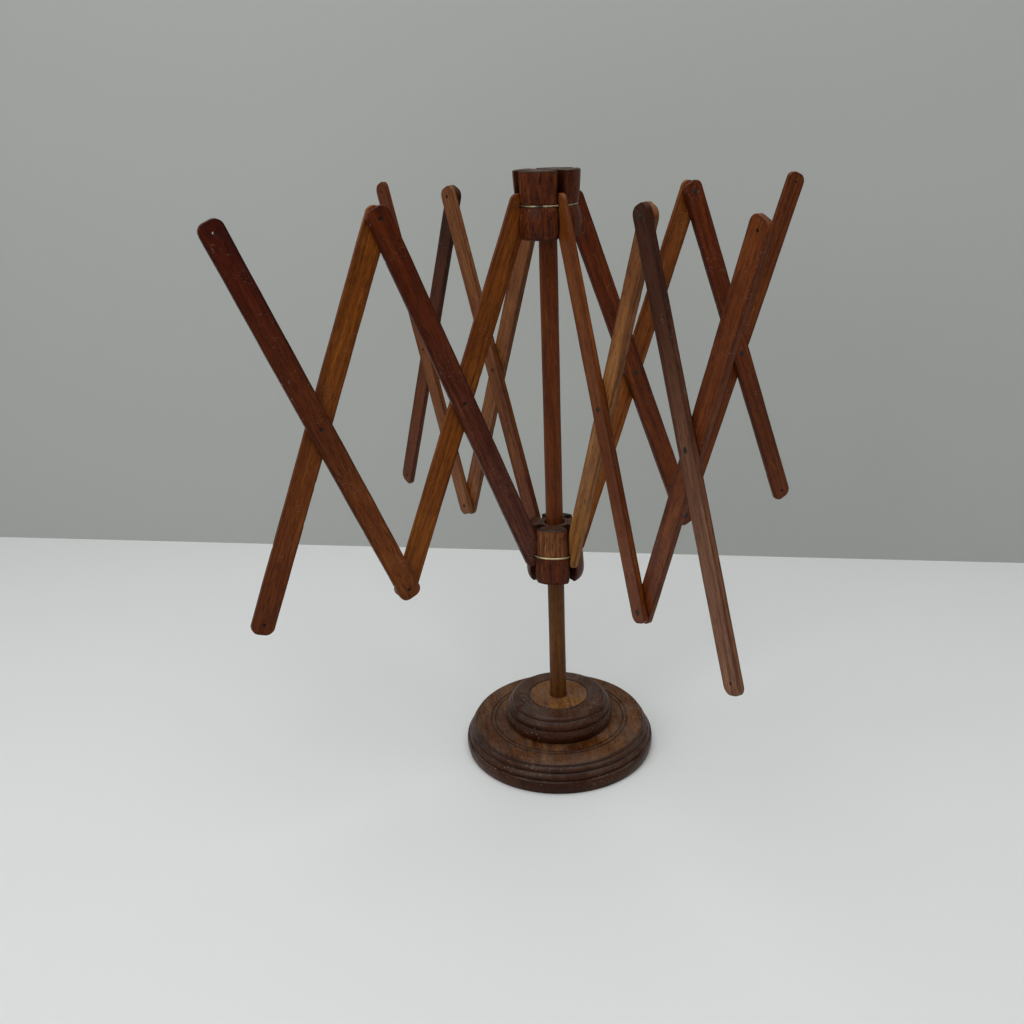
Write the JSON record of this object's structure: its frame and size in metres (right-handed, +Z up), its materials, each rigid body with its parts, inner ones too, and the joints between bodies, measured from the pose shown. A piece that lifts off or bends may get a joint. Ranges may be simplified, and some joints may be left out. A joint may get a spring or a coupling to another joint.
{
  "type": "folding table-top drying rack",
  "caption": "Wooden table-top drying rack: turned round base, thin pole, and lazy-tongs arms of flat slats that fold in and out between a turning top hub and a sliding lower hub.",
  "frame": {"origin": "centre of the base's underside, on the pole's axis", "axes": "+Z up along the pole; arm 1 runs along -X, arm 2 near -Y, arm 3 along +X, arm 4 near +Y"},
  "size_m": [0.5822, 0.5806, 0.549],
  "materials": {
    "base_wood": "dark brown stain, worn satin varnish",
    "pole_wood": "red-brown stain, satin varnish",
    "hub_wood": "red-brown stain, satin varnish, open grain",
    "down_slat_wood": "deep red-brown stain, satin varnish",
    "up_slat_wood": "golden brown stain, satin varnish",
    "ring_wire": "dull tarnished wire",
    "pin_iron": "dark iron brad",
    "screw_steel": "plain steel wood screw"
  },
  "bodies": {
    "root": {"base_disc": "base_wood", "base_riser": "base_wood", "pole": "pole_wood", "pole_screw": "screw_steel", "hub_screw": "screw_steel"},
    "top_hub": {"top_hub": "hub_wood", "top_ring": "ring_wire"},
    "lower_hub": {"lower_hub": "hub_wood", "lower_ring": "ring_wire"},
    "inner_down_1": {"inner_down_1": "down_slat_wood", "inner_cross_pin_1": "pin_iron", "bottom_joint_pin_1": "pin_iron"},
    "inner_up_1": {"inner_up_1": "up_slat_wood"},
    "outer_up_1": {"outer_up_1": "up_slat_wood"},
    "outer_down_1": {"outer_down_1": "down_slat_wood", "top_joint_pin_1": "pin_iron", "outer_cross_pin_1": "pin_iron"},
    "inner_down_2": {"inner_down_2": "down_slat_wood", "inner_cross_pin_2": "pin_iron", "bottom_joint_pin_2": "pin_iron"},
    "inner_up_2": {"inner_up_2": "up_slat_wood"},
    "outer_up_2": {"outer_up_2": "up_slat_wood"},
    "outer_down_2": {"outer_down_2": "down_slat_wood", "top_joint_pin_2": "pin_iron", "outer_cross_pin_2": "pin_iron"},
    "inner_down_3": {"inner_down_3": "down_slat_wood", "inner_cross_pin_3": "pin_iron", "bottom_joint_pin_3": "pin_iron"},
    "inner_up_3": {"inner_up_3": "up_slat_wood"},
    "outer_up_3": {"outer_up_3": "up_slat_wood"},
    "outer_down_3": {"outer_down_3": "down_slat_wood", "top_joint_pin_3": "pin_iron", "outer_cross_pin_3": "pin_iron"},
    "inner_down_4": {"inner_down_4": "down_slat_wood", "inner_cross_pin_4": "pin_iron", "bottom_joint_pin_4": "pin_iron"},
    "inner_up_4": {"inner_up_4": "up_slat_wood"},
    "outer_up_4": {"outer_up_4": "up_slat_wood"},
    "outer_down_4": {"outer_down_4": "down_slat_wood", "top_joint_pin_4": "pin_iron", "outer_cross_pin_4": "pin_iron"}
  },
  "joints": [
    {"name": "turn", "type": "hinge", "parent": "root", "child": "top_hub", "pos_m": [0, 0, 0.5215], "axis": [0, 0, 1], "continuous": true},
    {"name": "fold", "type": "hinge", "parent": "top_hub", "child": "inner_down_1", "pos_m": [-0.02487, 0, 0.5215], "axis": [0, 1, 0], "range_deg": [-17.5, 56.5]},
    {"name": "inner_cross_1", "type": "hinge", "parent": "inner_down_1", "child": "inner_up_1", "pos_m": [-0.08881, 0, 0.3656], "axis": [0, -1, 0], "range_deg": [-35, 113]},
    {"name": "bottom_joint_1", "type": "hinge", "parent": "inner_down_1", "child": "outer_up_1", "pos_m": [-0.15275, 0, 0.2097], "axis": [0, -1, 0], "range_deg": [-35, 113]},
    {"name": "top_joint_1", "type": "hinge", "parent": "inner_up_1", "child": "outer_down_1", "pos_m": [-0.15275, 0, 0.5215], "axis": [0, 1, 0], "range_deg": [-35, 113]},
    {"name": "fold_2", "type": "hinge", "parent": "top_hub", "child": "inner_down_2", "pos_m": [0, -0.02487, 0.5215], "axis": [-0.9954, 0.0958, 0], "range_deg": [-17.5, 56.5]},
    {"name": "inner_cross_2", "type": "hinge", "parent": "inner_down_2", "child": "inner_up_2", "pos_m": [-0.00613, -0.08851, 0.3656], "axis": [0.9954, -0.0958, 0], "range_deg": [-35, 113]},
    {"name": "bottom_joint_2", "type": "hinge", "parent": "inner_down_2", "child": "outer_up_2", "pos_m": [-0.01226, -0.15216, 0.2097], "axis": [0.9954, -0.0958, 0], "range_deg": [-35, 113]},
    {"name": "top_joint_2", "type": "hinge", "parent": "inner_up_2", "child": "outer_down_2", "pos_m": [-0.01226, -0.15216, 0.5215], "axis": [-0.9954, 0.0958, 0], "range_deg": [-35, 113]},
    {"name": "fold_3", "type": "hinge", "parent": "top_hub", "child": "inner_down_3", "pos_m": [0.02487, 0, 0.5215], "axis": [0, -1, 0], "range_deg": [-17.5, 56.5]},
    {"name": "inner_cross_3", "type": "hinge", "parent": "inner_down_3", "child": "inner_up_3", "pos_m": [0.08881, 0, 0.3656], "axis": [0, 1, 0], "range_deg": [-35, 113]},
    {"name": "bottom_joint_3", "type": "hinge", "parent": "inner_down_3", "child": "outer_up_3", "pos_m": [0.15275, 0, 0.2097], "axis": [0, 1, 0], "range_deg": [-35, 113]},
    {"name": "top_joint_3", "type": "hinge", "parent": "inner_up_3", "child": "outer_down_3", "pos_m": [0.15275, 0, 0.5215], "axis": [0, -1, 0], "range_deg": [-35, 113]},
    {"name": "fold_4", "type": "hinge", "parent": "top_hub", "child": "inner_down_4", "pos_m": [0, 0.02487, 0.5215], "axis": [0.9954, 0.0958, 0], "range_deg": [-17.5, 56.5]},
    {"name": "inner_cross_4", "type": "hinge", "parent": "inner_down_4", "child": "inner_up_4", "pos_m": [-0.00613, 0.08851, 0.3656], "axis": [-0.9954, -0.0958, 0], "range_deg": [-35, 113]},
    {"name": "bottom_joint_4", "type": "hinge", "parent": "inner_down_4", "child": "outer_up_4", "pos_m": [-0.01226, 0.15216, 0.2097], "axis": [-0.9954, -0.0958, 0], "range_deg": [-35, 113]},
    {"name": "top_joint_4", "type": "hinge", "parent": "inner_up_4", "child": "outer_down_4", "pos_m": [-0.01226, 0.15216, 0.5215], "axis": [0.9954, 0.0958, 0], "range_deg": [-35, 113]},
    {"name": "lower_hub_level", "type": "hinge", "parent": "inner_up_1", "child": "lower_hub", "pos_m": [-0.02487, 0, 0.2097], "axis": [0, 1, 0], "range_deg": [-17.5, 56.5]}
  ],
  "couplings": [
    {"joint": "inner_cross_1", "follows": "fold", "ratio": 2},
    {"joint": "bottom_joint_1", "follows": "fold", "ratio": 2},
    {"joint": "top_joint_1", "follows": "fold", "ratio": 2},
    {"joint": "fold_2", "follows": "fold", "ratio": 1},
    {"joint": "inner_cross_2", "follows": "fold", "ratio": 2},
    {"joint": "bottom_joint_2", "follows": "fold", "ratio": 2},
    {"joint": "top_joint_2", "follows": "fold", "ratio": 2},
    {"joint": "fold_3", "follows": "fold", "ratio": 1},
    {"joint": "inner_cross_3", "follows": "fold", "ratio": 2},
    {"joint": "bottom_joint_3", "follows": "fold", "ratio": 2},
    {"joint": "top_joint_3", "follows": "fold", "ratio": 2},
    {"joint": "fold_4", "follows": "fold", "ratio": 1},
    {"joint": "inner_cross_4", "follows": "fold", "ratio": 2},
    {"joint": "bottom_joint_4", "follows": "fold", "ratio": 2},
    {"joint": "top_joint_4", "follows": "fold", "ratio": 2},
    {"joint": "lower_hub_level", "follows": "fold", "ratio": 1}
  ]
}
